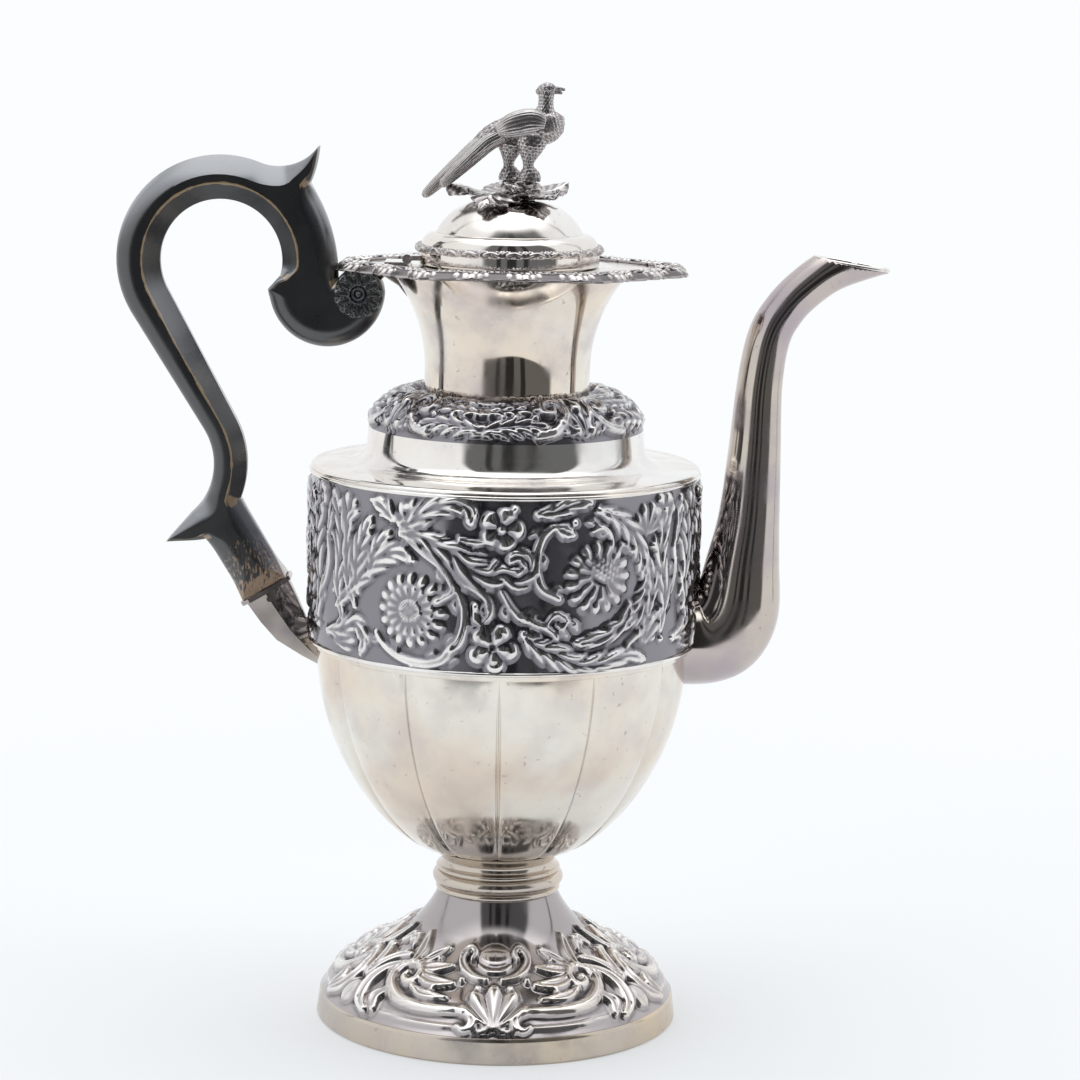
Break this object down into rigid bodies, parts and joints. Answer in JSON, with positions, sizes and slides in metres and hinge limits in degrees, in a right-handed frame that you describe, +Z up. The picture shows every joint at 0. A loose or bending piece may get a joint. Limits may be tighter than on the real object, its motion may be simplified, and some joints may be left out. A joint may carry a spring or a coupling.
{
  "type": "silver coffee pot",
  "caption": "Tall silver coffee pot on a domed foot, with a lobed bowl, embossed drum, swan spout, black wooden scroll handle and a hinged domed lid topped by a pheasant.",
  "frame": {"origin": "centre of the foot's resting face, on the pot's axis", "axes": "+Z up the pot's axis, +X towards the spout, -X towards the handle, the picture was taken from -Y"},
  "size_m": [0.2622, 0.1332, 0.3196],
  "materials": {
    "polished_silver": "polished silver with a warm tarnish",
    "chased_silver": "embossed silver, dark in the hollows",
    "tarnished_silver": "satin silver with a brown and violet tarnish",
    "cast_silver": "cast and chased silver, oxidised dark",
    "ebonised_wood": "black stained hardwood, worn brown along the edges"
  },
  "bodies": {
    "pot": {"foot_rim": "polished_silver", "bowl": "polished_silver", "bowl_seat": "polished_silver", "stem_ring": "polished_silver", "shoulder": "polished_silver", "neck": "polished_silver", "mouth_flange": "polished_silver", "band_lower_wire": "polished_silver", "band_upper_wire": "polished_silver", "foot_dome": "chased_silver", "frieze_band": "chased_silver", "leaf_collar": "chased_silver", "flange_border": "chased_silver", "spout": "tarnished_silver", "spout_lip_wire": "tarnished_silver", "lower_socket": "tarnished_silver", "lower_socket_rim": "tarnished_silver", "lower_socket_pin": "tarnished_silver", "upper_handle_mount": "tarnished_silver", "upper_handle_pin": "tarnished_silver", "hinge_leaf": "tarnished_silver", "hinge_pin": "tarnished_silver", "handle": "ebonised_wood", "handle_rosettes": "ebonised_wood"},
    "lid": {"lid_wall": "polished_silver", "lid_strip": "chased_silver", "lid_cushion": "polished_silver", "lid_dome": "polished_silver", "lid_bezel": "polished_silver", "lid_knuckle": "tarnished_silver", "finial_leaves": "cast_silver", "finial_rock": "cast_silver", "pheasant": "cast_silver", "finial_stud": "cast_silver", "finial_washer": "cast_silver", "finial_nut": "cast_silver"}
  },
  "joints": [
    {"name": "lid_hinge", "type": "hinge", "parent": "pot", "child": "lid", "pos_m": [-0.034, 0, 0.2611], "axis": [0, -1, 0], "range_deg": [0, 65]}
  ]
}
